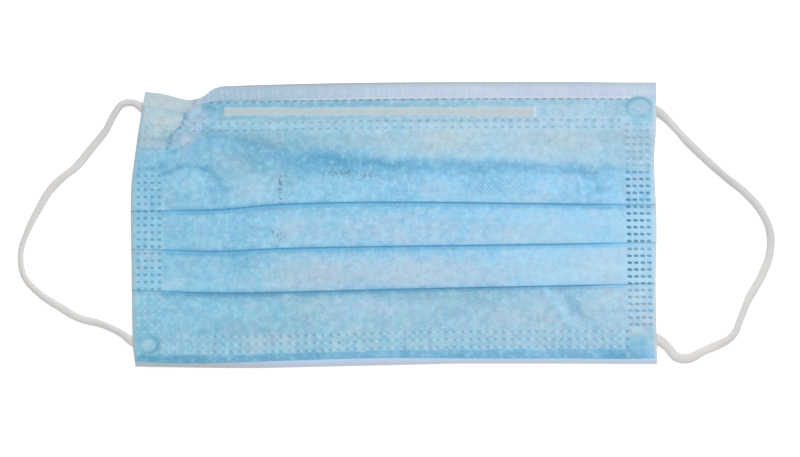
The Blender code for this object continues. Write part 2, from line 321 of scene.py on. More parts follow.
def rough(x, y, size, seed=0.0):
    """Smooth noise from about -1 to 1 over places on the mask, with features of this size."""
    points = np.stack([x / size, y / size, np.full_like(x, seed)], axis=-1).reshape(-1, 3)
    found = [noise.noise(Vector(point)) for point in points.tolist()]
    return np.array(found).reshape(x.shape)


def curve(places, at):
    """Values on the smooth curve through (place, value) pairs, each slope set by its neighbours."""
    along = np.array([place[0] for place in places], float)
    value = np.array([place[1] for place in places], float)
    last = len(along) - 1
    at = np.clip(at, along[0], along[-1])
    before = np.maximum(np.arange(last + 1) - 1, 0)
    after = np.minimum(np.arange(last + 1) + 1, last)
    gap = (along[after] - along[before]).reshape((-1,) + (1,) * (value.ndim - 1))
    slope = (value[after] - value[before]) / gap
    start = np.clip(np.searchsorted(along, at, side="right") - 1, 0, last - 1)
    span = along[start + 1] - along[start]
    t = (at - along[start]) / span
    if value.ndim > 1:
        span, t = span[..., None], t[..., None]
    return (
        value[start] * (1 + 2 * t) * (1 - t) ** 2
        + slope[start] * span * t * (1 - t) ** 2
        + value[start + 1] * t * t * (3 - 2 * t)
        + slope[start + 1] * span * t * t * (t - 1)
    )


def from_line(points, x, y):
    """Distance from the line through these points, which are in millimetres."""
    points = metres(*points)
    nearest = np.full_like(x, 1.0)
    for (x0, y0), (x1, y1) in zip(points, points[1:]):
        dx, dy = x1 - x0, y1 - y0
        share = np.clip(((x - x0) * dx + (y - y0) * dy) / (dx * dx + dy * dy), 0.0, 1.0)
        nearest = np.minimum(nearest, np.hypot(x - x0 - share * dx, y - y0 - share * dy))
    return nearest


# ---------------------------------------------------------------- the pressed marks


def dashes(along, across, welds):
    """1 on the weld marks of these rows and 0 off them."""
    b = from_middle(across - welds.row_start, welds.row_pitch)
    a = from_middle(along - welds.start, welds.pitch) + b * welds.slant
    a, b = a / welds.half_length, b / welds.half_width
    square = a * a
    mark = fall(square * square + b * b, *MARK_EDGE)
    inside = above(along, welds.start) * under(along, welds.end)
    return mark * (inside * (above(across, welds.row_start) * under(across, welds.row_end)))


def weld_marks(x, y, below_hem, above_chin):
    lean_from, lean = RIGHT_LEAN
    leaning = x - (lean_from - y) * lean
    lowered = y + rise(y * -1, *RIGHT_BREAK) * RIGHT_LOWERED
    marks = dashes(x, below_hem, NOSE_WELD)
    marks = larger(marks, dashes(x, below_hem, WIRE_WELDS))
    marks = larger(marks, dashes(x, above_chin, CHIN_WELDS))
    marks = larger(marks, dashes(x, y, LEFT_WELDS))
    return larger(marks, dashes(leaning, lowered, RIGHT_WELDS))


def from_hems(x, y, column_x):
    """How far down from the hem line and up from the chin edge the weld marks are measured."""
    drift = CHIN_DRIFT * (column_x / (2 * HALF_WIDTH) + 0.5)
    return curve(HEM_LINE, x) - y, y - curve(CHIN_EDGE, column_x) - drift


def ring_marks(x, y):
    marks = 0.0
    for ring in RINGS:
        dx, dy = x - ring.x, (y - ring.y) * ring.flattened
        away = size_of(root(dx * dx + dy * dy) - ring.radius)
        pressed = (dx * ring.toward_x + dy * ring.toward_y) / ring.radius * 0.4 + 0.6
        marks = fall(away, 0.0, RING_WIDTH) * pressed * ring.strength + marks
    return marks


# ---------------------------------------------------------------- the folded cloth


def free_share(x):
    """0 at the side seams, rising to 1 where the pleats are free."""
    return rise(HALF_WIDTH - np.abs(x), SEAM_BAND, SEAM_BAND + PRESS_FADE)


def wall_share(x):
    return PRESSED + (1 - PRESSED) * free_share(x)


def ground_at(y):
    return GROUND + NOSE_RISE * rise(y, *NOSE_SLOPE)


def folds_at(x):
    return [curve([(row[0], row[fold]) for row in FOLDS], x) + FOLD_SHOWN for fold in (1, 2, 3)]


Row = namedtuple("Row", "y z up shown")


def folded_rows(x):
    """The middle of the two layers over columns at x, from the chin edge to the nose edge.

    Each row has the direction that the outer layer's face looks in, as an angle from +Y, and how
    much of it shows. Each pleat is the run under it, a turn, the tuck's return, a turn and a panel.
    """
    pitch = PITCH_SIDE + (PITCH_MIDDLE - PITCH_SIDE) * free_share(x)
    bend = pitch / 2
    folds = folds_at(x)
    tucks = [fold - TUCK_CLEARANCE for fold in folds[1:]] + [folds[-1] + UPPER_TUCK]
    last = tucks[-1]
    edge = curve(NOSE_EDGE, x) - LAYER_HALF * 2 - WALL / 2
    rows = []

    def run(start, end, count, height, up, shown):
        for step in range(count):
            y = start + (end - start) * step / count
            rows.append(Row(y, height(y), np.full_like(y, up), shown))

    def turn(y, z, way, shown):
        for step in range(TURN_STEPS):
            angle = math.pi * (step / TURN_STEPS - 0.5)
            face = np.full_like(y, angle + math.pi if way > 0 else math.pi - angle)
            turned_y, turned_z = y + way * bend * math.cos(angle), z + bend * math.sin(angle)
            rows.append(Row(turned_y, turned_z, face, shown if angle > FRONT_TURN else 0.0))

    def lowest(number, y):
        """The height of the run under a pleat, which comes down from the panel of the one below."""
        if number == 0:
            return ground_at(y)
        high, low = tucks[number - 1], tucks[number] - bend
        return ground_at(y) + 2 * pitch * np.clip((low - y) / (low - high), 0.0, 1.0)

    def coming_down(y):
        return ground_at(y) + 2 * pitch * fall(y - last, *TUCK_SLOPE)

    run(curve(LINING_END, x), curve(OUTER_END, x), HEM_ROWS, ground_at, ABOVE, 1.0)
    run(curve(OUTER_END, x), folds[0], CHIN_ROWS, ground_at, ABOVE, 1.0)
    for number, (fold, tuck) in enumerate(zip(folds, tucks)):
        front, back = fold + bend, tuck - bend
        below = fold if number == 0 else tucks[number - 1]
        run(below, back, HIDDEN_ROWS, lambda y: lowest(number, y), ABOVE, 0.0)
        turn(back, lowest(number, back) + bend, 1, 0.0)
        run(back, front, HIDDEN_ROWS, lambda y: lowest(number, y) + pitch, BELOW, 0.0)
        turn(front, lowest(number, front) + pitch + bend, -1, 1.0)
        run(front, tuck, PANEL_ROWS, lambda y: lowest(number, y) + 2 * pitch, ABOVE, 1.0)
    run(last, edge, NOSE_ROWS, coming_down, ABOVE, 1.0)
    rows.append(Row(edge, coming_down(edge), np.full_like(edge, ABOVE), 1.0))
    return rows


def over_wire(x, y):
    """1 over the nose wire, falling to 0 beside it."""
    across = np.abs(y - WIRE_CENTRE[1]) - WIRE_WIDTH / 2
    along = np.abs(x - WIRE_CENTRE[0]) - WIRE_LENGTH / 2
    return fall(across, *CHANNEL_SIDE) * fall(along, *CHANNEL_END)


def layer_rows(x, side):
    """(y, z, place along the cloth, shown) of the layer on this side of the middle of the two."""
    rows = folded_rows(x)
    steps = [np.hypot(b.y - a.y, b.z - a.z) for a, b in zip(rows, rows[1:])]
    flats = np.concatenate([np.zeros((1, len(x))), np.cumsum(steps, axis=0)])
    half = side * LAYER_HALF * wall_share(x)
    made = []
    for row, flat in zip(rows, flats):
        lift = side * CHANNEL_RISE * over_wire(x, row.y) * (row.up == ABOVE)
        y, z = row.y + half * np.cos(row.up), row.z + half * np.sin(row.up) + lift
        made.append((y, z, flat, row.shown))
    return made


def outer_rows(x):
    return layer_rows(x, 1)[HEM_ROWS:]


def lining_rows(x):
    """The inner layer, with its turn over the nose edge onto the front."""
    made = [(*row[:3], 0.0) for row in layer_rows(x, -1)]
    y, z, flat, _ = made[-1]
    bend = 2 * LAYER_HALF * wall_share(x)
    for step in range(1, TURN_STEPS + 1):
        angle = math.pi * (step / TURN_STEPS - 0.5)
        turned_y, turned_z = y + bend * math.cos(angle), z + bend * (1 + math.sin(angle))
        made.append((turned_y, turned_z, flat + bend * step / 2, 1.0))
    _, top, flat, _ = made[-1]
    caught_x, caught_width, lost = TURN_CAUGHT
    length = curve(TURN_DEPTH, x) * (1 - lost * bell(x - caught_x, caught_width)) - bend
    for step in range(1, FLAP_ROWS + 1):
        down = length * step / FLAP_ROWS
        made.append((y - down, top + 0 * y, flat + down, 1.0))
    return made


# ---------------------------------------------------------------- where the cloth isn't flat

CORNER_LIFT = 0.0011
CORNER_FLAT = 0.0092
CORNER_FADE = 0.0110
# Swellings, in millimetres and degrees: x, y, length, width, height and turn.
SWELLS = (
    # the puff and the dents at the left of the upper panel
    (-69, 12.5, 7.5, 5, 1.1), (-47, 11.5, 8.5, 4.5, 0.7, 8), (-63, 25, 9, 2.2, 0.55, 12),
    # the upper panel
    (5, 13, 22, 3.5, 0.5, 4), (48, 10.5, 16, 4, 0.7, -5), (66, 11, 5, 4.5, 0.5),
    # the two narrow panels
    (-30, 0, 16, 3, 0.4, 5), (40, 1, 20, 3, 0.45, -6), (-15, -15, 18, 3.2, 0.45, -6),
    (45, -13, 17, 3.2, 0.45, 10),
    # the chin panel and its slanting fold
    (55, -28.3, 8.5, 2, 1.1, -50), (0, -29, 20, 3.5, 0.5, 3), (-50, -31, 18, 4, 0.4, -4),
    # below the nose wire
    (25, 26.2, 40, 3, 0.5, -1), (62, 25.5, 9, 3, 0.5, -20),
    # small folds beside the crumple
    (-65.5, 33.5, 6, 0.9, 0.7, 52), (-62.5, 39.5, 3.5, 0.9, 0.6, 60),
    (-71.2, 26.2, 5, 1, 0.6, 30),
)
# Creases, in millimetres: points, width and depth, and the painted shade that darkens the cloth
# along each.
Crease = namedtuple("Crease", "points width depth shade")
CREASES = [Crease(*row) for row in (
    (((67, -28.7), (72, -29.1), (76.5, -29)), 0.7, 0.08, 0.22),
    (((76.5, -29), (87.5, -28.9)), 0.7, 0.08, 0.7),
    (((-67, -36.2), (-50, -36.1), (-33, -36)), 0.7, 0.08, 0.16),
    (((-87.5, -28.8), (-80, -29.3), (-71.5, -28.6)), 0.8, 0.08, 0.3),
    (((-85.5, 25.1), (-82, 24.8), (-77, 25.2)), 0.6, 0.06, 0.35),
    (((60, 19), (64, 17.2), (66.8, 15), (68.2, 12)), 1.5, 0.2, 0.3),
    (((70, 19.6), (73, 18.4), (77.5, 18)), 0.9, 0.08, 0.3),
    (((-76.5, 16.8), (-72, 19), (-67.5, 19.6), (-62.8, 18.6)), 1.2, 0.12, 0.75),
    (((-62.8, 18.6), (-58.5, 15), (-56, 11.3)), 2, 0.2, 0.34),
    (((-38, 16), (-37.3, 13), (-38.1, 10.5), (-37.6, 8.2)), 0.8, 0.15, 0.12),
    (((-37.2, -1.2), (-36, -3.5), (-37, -6.2)), 0.8, 0.12, 0.1),
)]
# The hollow above the pleats.
DIP = metres(
    (-69, 27.2), (-60, 28.5), (-50, 27.5), (-42, 24.6), (-33, 22.6), (-24.5, 21.9), (-11, 21),
    (2, 20.2), (29, 19.6), (55, 18.8), (69, 17.2),
)
DIP_DEPTH = 0.0006
# The sharp crease of the crumple at the left of the nose wire, as (y, x).
RIDGE_LINE = metres(
    (24, -76.8), (26.5, -75.8), (27.7, -75.3), (28.8, -74.7), (29.8, -74.2), (30.7, -73),
    (31.8, -72.2), (32.7, -71), (33.8, -70.8), (34.8, -70), (36, -70.3), (37.7, -69.5),
    (38.7, -68.4), (40.5, -67.2), (44, -65.5),
)
RIDGE_HEIGHT = 0.0012
RIDGE_FACE = 0.0013
RIDGE_BACK = 0.0100
RIDGE_LEAN = 0.80  # distance from the crease, of the distance along x
RIDGE_GROOVE = (0.0002, 0.0004)  # depth and width of the groove along it
# The crease's jags, as height, size and seed of the noise.
JAGS = ((0.0005, 0.0013, 3.0), (0.0003, 0.0006, 5.0))
WAVES = 0.00040  # height of the cloth's waves
CALM_WIRE = (0.0030, 0.0060)  # where the waves begin, from the middle of the nose wire
CALM_SIDE = (0.0080, 0.0140)  # and from the sides


def corner_rise(x, y):
    """1 over the ends of the ear loops, falling to 0 away from the corners."""
    nearest = np.full_like(x, 1.0)
    for route in (LEFT_ROUTE, RIGHT_ROUTE):
        for exit_x, exit_y in (route[1], route[-2]):
            dx = x - math.copysign(HALF_WIDTH, exit_x)
            dy = np.maximum(0.0, (exit_y - y) * math.copysign(1, exit_y))
            nearest = np.minimum(nearest, np.hypot(dx, dy))
    return fall(nearest, CORNER_FLAT, CORNER_FLAT + CORNER_FADE)


def from_ridge(x, y):
    """Distance from the crumple's sharp crease, positive on its right."""
    jagged = sum(height * rough(x, y, size, seed) for height, size, seed in JAGS)
    return (x - curve(RIDGE_LINE, y)) * RIDGE_LEAN + jagged


def ridge_share(y):
    return rise(y, 0.0225, 0.0275)


def dip_share(x, y):
    """1 along the hollow above the pleats, which is widest at its left."""
    away = y - curve(DIP, x)
    width = 0.0022 + 0.0014 * fall(x, -0.0300, -0.0050)
    return bell(away, width * np.where(away > 0, 0.85, 1.25))


def relief(x, y):
    """How far both layers rise at x, y."""
    z = CORNER_LIFT * corner_rise(x, y)
    for middle_x, middle_y, length, width, height, *turn in SWELLS:
        z += height * MM * oval(x, y, middle_x, middle_y, length, width, *turn)
    z -= DIP_DEPTH * dip_share(x, y) * rise(x, -0.0720, -0.0600) * fall(x, 0.0680, 0.0760)
    away = from_ridge(x, y)
    ridge = rise(away, 0.0, RIDGE_FACE) * fall(away, RIDGE_FACE, RIDGE_FACE + RIDGE_BACK)
    groove_depth, groove_width = RIDGE_GROOVE
    z += ridge_share(y) * (RIDGE_HEIGHT * ridge - groove_depth * bell(away, groove_width))
    calm = rise(np.abs(y - WIRE_CENTRE[1]), *CALM_WIRE)
    calm *= 0.2 + 0.8 * rise(HALF_WIDTH - np.abs(x), *CALM_SIDE)
    waves = 0.7 + 0.6 * rough(x, y * 1.6, 0.0170, 7.0) + 0.35 * rough(x + y, y - x, 0.0070, 11.0)
    z += WAVES * calm * np.maximum(waves, 0.0)
    for crease in CREASES:
        z -= crease.depth * MM * bell(from_line(crease.points, x, y), crease.width * MM)
    return np.maximum(z, LAYER_HALF + WALL / 2 + CLEAR - ground_at(y))


# ---------------------------------------------------------------- what the cloth's colour follows

# Ovals of the outer layer, in millimetres and degrees, and how much of each part they add. Their
# shade is partly the cloth's own uneven tone, partly painted shade and painted light on dents,
# puffs and folds.
Patch = namedtuple("Patch", "x y length width shade mauve cream fill turn", defaults=[0] * 5)
PATCHES = [Patch(*row) for row in (
    # painted shadow along the nose wire's upper edge
    (-5, 39.8, 48, 0.8, 0.34, 0, 0.3, -0.4),
    # below the nose wire, palest in the middle and on the right
    (32, 27.5, 42, 6, -0.5, 0.1, 0.05), (18, 29, 9, 3.2, -0.2, 0, 0.35, 0, 10),
    (74, 28.8, 6, 2.6, -0.2), (-5, 29, 9, 2.4, -0.15), (57, 28.5, 11, 4, 0, 0, 0.3),
    (33, 27, 4, 3.5, 0.1, 0, 0, 0.6), (-64, 24.5, 11, 4.5, 0.02, 0, 0, 0.2, 12),
    (-67, 29, 4.5, 2, -0.4, 0.2, 0, 0, 50), (-37, 30, 10, 5, 0.05, 0.1),
    (-73.5, 24, 2.6, 1.4, -0.7, -0.9, 0, 0, 20), (-64.8, 39.8, 3, 1.8, -0.5, 0.2, 0, 0, 50),
    (-79.5, 19, 6, 1.5, 0.6, -0.2, 0, -0.3, 14), (-48, 20.5, 6.5, 3, 0.24, 0, 0, -0.2, -28),
    (-60, 28.8, 11, 2.6, -0.14), (-53, 23.5, 16, 7.5, 0.12, 0.05, 0.1, -0.5),
    (-39, 18, 13, 5, 0.22, 0, 0, -0.4), (-13, 16.5, 14, 3, 0.26, 0, 0, -0.2),
    (-80, 28.5, 5, 2, -0.25), (57, 37.8, 10, 2, 0, 0.15, 0.15), (15, 21.5, 16, 1.6, 0.2),
    (-13, 24.5, 8, 1.8, 0.18, 0, 0, 0.1), (30, 17.8, 5, 2, 0.18),
    (-22.7, 17.8, 4, 1.8, 0.22, 0, 0, 0.1), (-16, 34.5, 3.5, 1.5, 0.2, -0.1),
    # the upper panel
    (24, 8, 5, 1.6, 0.15, -0.1), (7, 8, 6, 1.6, 0.12, -0.25, 0, 0.2),
    (65, 10, 6, 3, 0.15, -0.2, 0, 0.1), (-68.5, 12, 7, 4.5, -0.08, 0, 0, 0.1),
    (-59.5, 11.5, 4.4, 6.5, 0.42, 0, 0, 0.2), (-47, 11.5, 8, 4, -0.25, 0.15, 0.15, 0, 10),
    (3, 11, 6, 5.5, 0.28, 0, 0, 0, 5), (18, 16.8, 25, 2.8, 0.2),
    (16, 10.5, 6, 3.5, -0.2, 0.25, 0, 0, 5), (31, 13.5, 8.5, 3.2, 0.32, -0.1, 0, 0.5),
    (46, 8.5, 11, 2.5, -0.3, 0, 0, 0.3), (57, 12, 6, 4, 0.18, 0, 0, 0.3, -20),
    (70, 12.5, 5, 4, 0.2, 0, 0, 0.3),
    # the two narrow panels
    (-47, 1, 7, 5.5, 0.18, 0, 0, 0.2), (-36, -1.5, 5, 4.5, -0.15, 0.3, 0.1),
    (0, -2, 28, 4, 0, 0.4, 0.08, -0.1), (18, -0.5, 6, 4, 0.18),
    (-83.5, -9.7, 5, 1, -0.7, 0, 0.25), (42, -3.8, 8, 2.8, -0.4, 0.1, 0.15, 0, 5),
    (-13, 4.2, 16, 1.3, 0.16), (55, -1, 18, 5, -0.15, 0.15, 0, 0.3),
    (-51, -12, 6.5, 3.5, 0.35, 0, 0, 0.1, -50), (-28, -16.5, 17, 5, -0.25, 0.6, 0.15, -0.4, 3),
    (8, -16.5, 22, 4.5, -0.28, 0.6, 0.15, -0.4), (50, -14, 18, 5.5, -0.3, 0, 0, 0.3),
    (70, -14, 11, 6, -0.6, 0.15, 0, 0.5), (74.5, -9, 5, 2.2, -0.25, 0.1),
    (-42.7, -12.2, 3.5, 2.8, 0.25, 0, 0, 0.1), (-42.7, -18.5, 3.5, 2, -0.2),
    (-77, -19.5, 8, 3, -0.3, 0.1), (-83.5, -15, 5, 8, -0.15, -0.25, 0, 0.1),
    (50, -2, 6, 2.5, -0.2, 0, 0, 0.3), (50, -15.5, 5, 2, -0.25, 0, 0, 0.3),
    (-52.5, -2.2, 6, 2, 0.15, -0.1), (-60, -21.2, 18, 1.6, -0.25, -0.25, 0, 0.1),
    # the chin panel
    (-62.5, -25.5, 3.5, 2, 0.1, -0.35), (-22.7, -28.5, 3.5, 2.5, 0.22, 0, 0, -0.1),
    (84, -32, 4, 1.8, -0.35, 0.1), (20.7, -35.5, 6.5, 1.8, 0.2),
    (70.7, -42.2, 4, 1.4, 0.18, -0.1), (59, -30, 11, 5, 0, 0.05, 0.2),
    (-11, -35.5, 7, 4, 0, 0.05, 0.15), (-29, -29, 7, 4, 0.1, 0.1, 0.1, -0.3),
    (17, -25, 18, 3.5, 0.08, 0, 0.05, -0.25), (-30, -42.5, 12, 1.4, 0.15, -0.1),
    (15, -24.5, 14, 1.8, 0.28), (-10, -27.5, 16, 3.8, -0.1, 0.45, 0, 0.2),
    # the slanting fold: a painted highlight along it and painted shade to its right
    (38, -30, 11, 3.5, -0.05, 0.3, 0.15), (54.6, -28.5, 8, 2.1, -0.55, -0.3, -0.3, 0.8, -52),
    (60, -27.7, 6.5, 2.2, 0.6, 0, 0, 0, -52), (50, -29.5, 6, 2, 0.15, 0.1, 0.1, 0, -52),
    (76, -26, 8, 8, -0.4, 0.15, 0, 0.2), (-70, -29, 13, 8, 0.05, 0, 0, 0.4),
    (-83, -12, 6, 8, -0.15), (-83.5, -40, 4, 6, 0.05, -0.6), (31, -27.5, 7, 4, 0.25),
    (-40, -39, 10, 3, -0.05, 0.35, 0.15), (-74, -44.8, 10, 1.5, 0.2),
    (76.5, -43.7, 5, 1.8, 0.16, 0, 0, 0.1), (85, -43.3, 2.2, 2.2, -0.3, 0, 0, 0.2),
    # round the welded ends of the ear loops
    (-82.1, -40.2, 2.4, 1.7, -0.2, -0.2, 0.55, 0, -15), (-78.5, -40, 1.1, 3.2, 0.35),
    (81.5, -35.6, 3.2, 1.8, -0.15, 0, 0.42, 0, 5), (82.2, -39.5, 3.5, 1.2, 0.45, 0, 0, 0.5),
    (81.8, 39.2, 2.4, 1.6, 0.05, 0.25, 0.1, -0.3), (82.2, 35.2, 3.4, 1.1, 0.45, -0.2, 0, -0.2),
    (75.5, 38.5, 3, 4, 0.18, 0, 0, -0.2),
    # along the right side
    (84.3, 36.2, 3, 3, 0.24, -0.05), (84.3, 18.5, 3, 1.6, 0.28, -0.1),
    (84.3, 8.5, 3, 1.8, 0.12, -0.25, 0, 0.3), (84.3, -31.8, 3, 1.4, -0.45),
    # stray cream marks
    (-78, 33.2, 6.5, 1.4, 0.42, -0.1, 0.15), (-78, 36.3, 6, 1.2, -0.25, -0.2, 0.22),
    (-78, 37.7, 6, 0.7, 0.3, -0.2, 0.2), (-79, 35.2, 2.2, 1.3, -0.2, 0, 0.35, 0, -20),
    (-72.8, 35.3, 1.4, 1.2, -0.1, 0, 0.35),
)]
# Grey worn lines, in millimetres: points, width and strength.
SCUFFS = (
    (((-37.8, 16), (-38.1, 12), (-37.7, 7.8)), 0.8, 0.8),
    (((-35.5, 16.2), (-35.2, 12.5), (-36.2, 9)), 1, 0.5),
    (((-40.4, -2.2), (-37, -4), (-38.8, -6.2)), 1, 0.5),
    (((-17.5, -3), (-17.3, -3.6)), 0.8, 0.7),
    (((-22.8, 17), (-20.5, 17.6), (-17.5, 16.5), (-15, 17.8)), 0.9, 0.7),
    (((-15, 17.8), (-12.5, 15.5), (-10, 16.6), (-6.5, 16)), 1, 0.6),
)


def lighter_rows(y, rows):
    """1, but less at these rows of weld marks."""
    kept = 1.0
    for row_y, lighter in rows:
        kept = kept * (1 - lighter * bell(y - row_y, 0.0010))
    return kept


def weld_strength(x, y, below_hem, above_chin):
    """How dark the weld marks are. Below 0 they are paler than the cloth."""
    hems = 0.34 + 0.10 * stripe(below_hem, 0.0040, 0.0075, 0.0004)
    hems -= stripe(above_chin, 0.0030, 0.0120, 0.0010) * (0.05 + 0.20 * fall(x, -0.0680, -0.0580))
    strong = fall(y, 0.0145, 0.0195) * rise(y, -0.0230, -0.0222) * lighter_rows(y, LEFT_LIGHTER)
    left = 0.06 + 0.18 * fall(y, 0.0195, 0.0225) + 0.36 * strong - 0.54 * fall(y, -0.0234, -0.0226)
    strong = fall(y, 0.0176, 0.0186) * rise(y, -0.0212, -0.0204) * lighter_rows(y, RIGHT_LIGHTER)
    strong *= 0.56 + 0.20 * (fall(x, 0.0788, 0.0798) - 0.5 * rise(x, 0.0835, 0.0845))
    right = 0.30 + 0.24 * fall(y, -0.0212, -0.0204) + strong
    return np.where(x < -0.0765, left, np.where(x > 0.0760, right, hems))


class Coat:
    """What the outer layer's colour follows at x, y, in parts that its material blends by.

    Fill goes from the dull single cloth to the blue of three layers. Shade is painted shade in
    creases, hollows and under folds, together with the cloth's own darker tone, and below 0 it is
    painted light and paler cloth. Mauve is the violet tint of slack cloth and, on the crumple's
    ridge, a painted highlight; cream and grey are worn places. Hollow is painted light in the
    crevice under a fold, standing in for light that comes through the cloth. Away is the distance
    from the crumple's crease.
    """

    def __init__(self, mesh):
        self.x, self.y, _ = threes(mesh.vertices, "co").T.copy()
        column_x, _, _ = threes(mesh.attributes["flat"].data, "vector").T
        self.below_hem, self.above_chin = from_hems(self.x, self.y, column_x)
        self.from_side = HALF_WIDTH - np.abs(column_x)
        self.east = rise(self.x, -0.0700, 0.0600)
        self.away = from_ridge(self.x, self.y)
        self.cream, self.grey, self.hollow = np.zeros((3, len(column_x)))
        self.panels(folds_at(column_x))
        self.hems()
        self.sides()
        self.crumple()
        self.shade_and_wear()

    def panels(self, folds):
        x, y, east = self.x, self.y, self.east
        folded = fall(y - curve(DIP, x), -0.0020, 0.0020) * (y > folds[0])
        # Bluer and brighter towards the right: partly the cloth's tone, partly painted light from
        # the right.
        self.fill = 0.20 + (0.40 + 0.35 * east) * folded + 0.15 * east
        self.shade = 0.02 - 0.10 * east
        self.mauve = 0.10 - 0.28 * (1 - east) + 0.15 * rise(y, 0.0300, 0.0360)
        opened = rise(self.from_side, 0.0070, 0.0130)
        varied = 1 + 0.35 * rough(x, y, 0.0120, 31.0)
        tails = ((1.25 + 0.9 * bell(x - 0.0110, 0.0130)) * varied, varied, varied)
        # Under each fold's edge: painted shade below it, a painted highlight just above it, and in
        # the crevice painted light for light that comes through the cloth.
        for fold, tail in zip(folds, tails):
            below = fold - y
            fold_shade_share = (below > -0.0003) * (0.15 + 0.85 * opened)
            self.shade += tail * (0.32 - 0.15 * east) * bell(below, 0.0019 + 0.0005 * tail) * fold_shade_share
            self.shade -= 0.32 * bell(below + 0.0006, 0.0005) * opened
            self.shade += 0.60 * bell(below - 0.0008, 0.0008) * fold_shade_share
            deep = bell(below - 0.0001, 0.0005) * rise(below, -0.0002, 0.0002)
            self.hollow += deep * (0.10 + 0.90 * opened)
        # Painted shade along the hollow above the pleats, where the cloth is also bluer.
        dip = dip_share(x, y) * rise(x, -0.0720, -0.0620) * fall(x, 0.0680, 0.0780)
        deepest = 0.65 * bell(x + 0.0150, 0.0220) + 0.28 * bell(x - 0.0380, 0.0280)
        self.shade += (0.42 + deepest) * dip
        self.fill += 0.5 * dip

    def hems(self):
        x, east, below_hem, above_chin = self.x, self.east, self.below_hem, self.above_chin
        under_turn = stripe(below_hem, 0.0050, 0.0083, 0.0010) * (x > -0.0640)
        under_turn *= 1 - 0.8 * rise(x, 0.0480, 0.0540)
        self.shade += (0.36 - 0.26 * east) * under_turn
        self.fill -= 0.40 * under_turn
        # Painted light just below the lining's turned edge, against the shadow there.
        self.shade -= 0.45 * bell(below_hem - 0.0056, 0.0004) * (x > -0.0620)
        # Painted light below the nose wire, against the shadow of the cloth falling from it.
        self.shade -= 0.10 * stripe(below_hem, 0.0111, 0.0170, 0.0015)
        self.shade -= 0.30 * stripe(below_hem, 0.0114, 0.0130, 0.0010)
        # A deeper blue band along the chin's hem: the doubled cloth, with painted shade where its
        # edge curls down.
        hem = stripe(above_chin, 0.0, 0.0038 + 0.0005 * rise(x, -0.0500, -0.0400), 0.0005)
        self.shade += (0.75 - 0.25 * east * rise(above_chin, 0.0016, 0.0036)) * hem
        self.fill += (0.30 + 0.60 * east) * hem
        self.shade -= 0.08 * stripe(above_chin, 0.0043, 0.0070, 0.0020)

    def sides(self):
        y, from_side = self.y, self.from_side
        banded = fall(from_side, 0.0052, 0.0112) * stripe(y, -0.0310, 0.0310, 0.0040) * (self.x > 0)
        self.shade -= (0.35 - 0.30 * bell(y - 0.0130, 0.0065)) * banded
        self.fill += 0.35 * banded * (y < 0.0050)
        self.shade += 0.12 * bell(from_side - 0.0110, 0.0004) * (y > 0.0180)

    def crumple(self):
        x, y, away = self.x, self.y, self.away
        share = ridge_share(y)
        # Right of the crease: darker over the ridge, with painted highlights in mauve on its face
        # and on its small facets.
        self.shade += share * 0.22 * fall(away, 0.0060, 0.0120) * (away > 0)
        face = rise(away, 0.0, 0.0005) * fall(away, 0.0040, 0.0080) * fall(y, 0.0370, 0.0400)
        streaks = rough(x + y * 0.6, y * 0.4, 0.0013, 2.0) * (np.abs(away - 0.0040) < 0.0040)
        flap = share * fall(away, -0.0007, 0.0) * rise(self.from_side, 0.0005, 0.0015)
        self.mauve += share * (0.75 * face + 0.35 * streaks)
        self.mauve += flap * (0.15 + 0.40 * rough(x, y, 0.0030, 17.0))
        creamy = 0.45 * rough(x, y, 0.0045, 15.0) + 0.25 * rough(x, y, 0.0015, 16.0)
        self.cream += flap * (0.42 + creamy)
        self.shade -= flap * 0.12

    def shade_and_wear(self):
        x, y = self.x, self.y
        # painted shade along the creases
        for crease in CREASES:
            away = from_line(crease.points, x, y)
            self.shade += crease.shade * bell(away, crease.width * MM * 0.9)
        for points, width, strength in SCUFFS:
            self.grey += strength * bell(from_line(points, x, y), width * MM)
        for patch in PATCHES:
            share = oval(x, y, *patch[:4], patch.turn)
            self.shade += patch.shade * share
            self.mauve += patch.mauve * share
            self.cream += patch.cream * share
            self.fill += patch.fill * share


def paint(mesh):
    """Gives the outer layer's mesh what its colour follows."""
    coat = Coat(mesh)
    weld = weld_strength(coat.x, coat.y, coat.below_hem, coat.above_chin)
    sharp = rise(coat.y, 0.0255, 0.0275) * fall(coat.y, 0.0372, 0.0412)
    put_attribute(mesh, "fold", coat.hollow, np.clip(coat.away, -0.01, 0.01), sharp)
    put_attribute(mesh, "tint", coat.fill, coat.shade, coat.mauve)
    put_attribute(mesh, "mark", weld, coat.cream, coat.grey)


# ---------------------------------------------------------------- making the sheets

# Where the hems' and the sides' weld marks need a finer mesh.
FINE_BELOW_HEM = (0.0042, 0.0168)
FINE_HEM_START = -0.0700
FINE_ABOVE_CHIN = (0.0036, 0.0125)
FINE_SIDE = 0.0762
FINE_SIDE_SPAN = (-0.0375, 0.0350)


def follow_sides(x, y):
    """x moved so that the cloth ends on the outline of the left and right edges."""
    left = np.maximum(0.0, (EDGE_MARGIN - HALF_WIDTH - x) / EDGE_MARGIN) ** 2
    right = np.maximum(0.0, (x - HALF_WIDTH + EDGE_MARGIN) / EDGE_MARGIN) ** 2
    to_left, to_right = curve(LEFT_EDGE, y) + HALF_WIDTH, curve(RIGHT_EDGE, y) - HALF_WIDTH
    return x + left * to_left + right * to_right


def put_attribute(mesh, name, *parts):
    made = mesh.attributes.new(name, "FLOAT_VECTOR", "POINT")
    values = np.zeros((len(mesh.vertices), 3), np.float32)
    for index, part in enumerate(parts):
        values[:, index] = part
    made.data.foreach_set("vector", values.ravel())


def add_object(name, data):
    made = bpy.data.objects.new(name, data)
    bpy.context.scene.collection.objects.link(made)
    return made


def threes(items, key):
    """The three numbers that each item has under this key, a row for each item."""
    found = np.empty(len(items) * 3, np.float32)
    items.foreach_get(key, found)
    return found.reshape(-1, 3).astype(float)


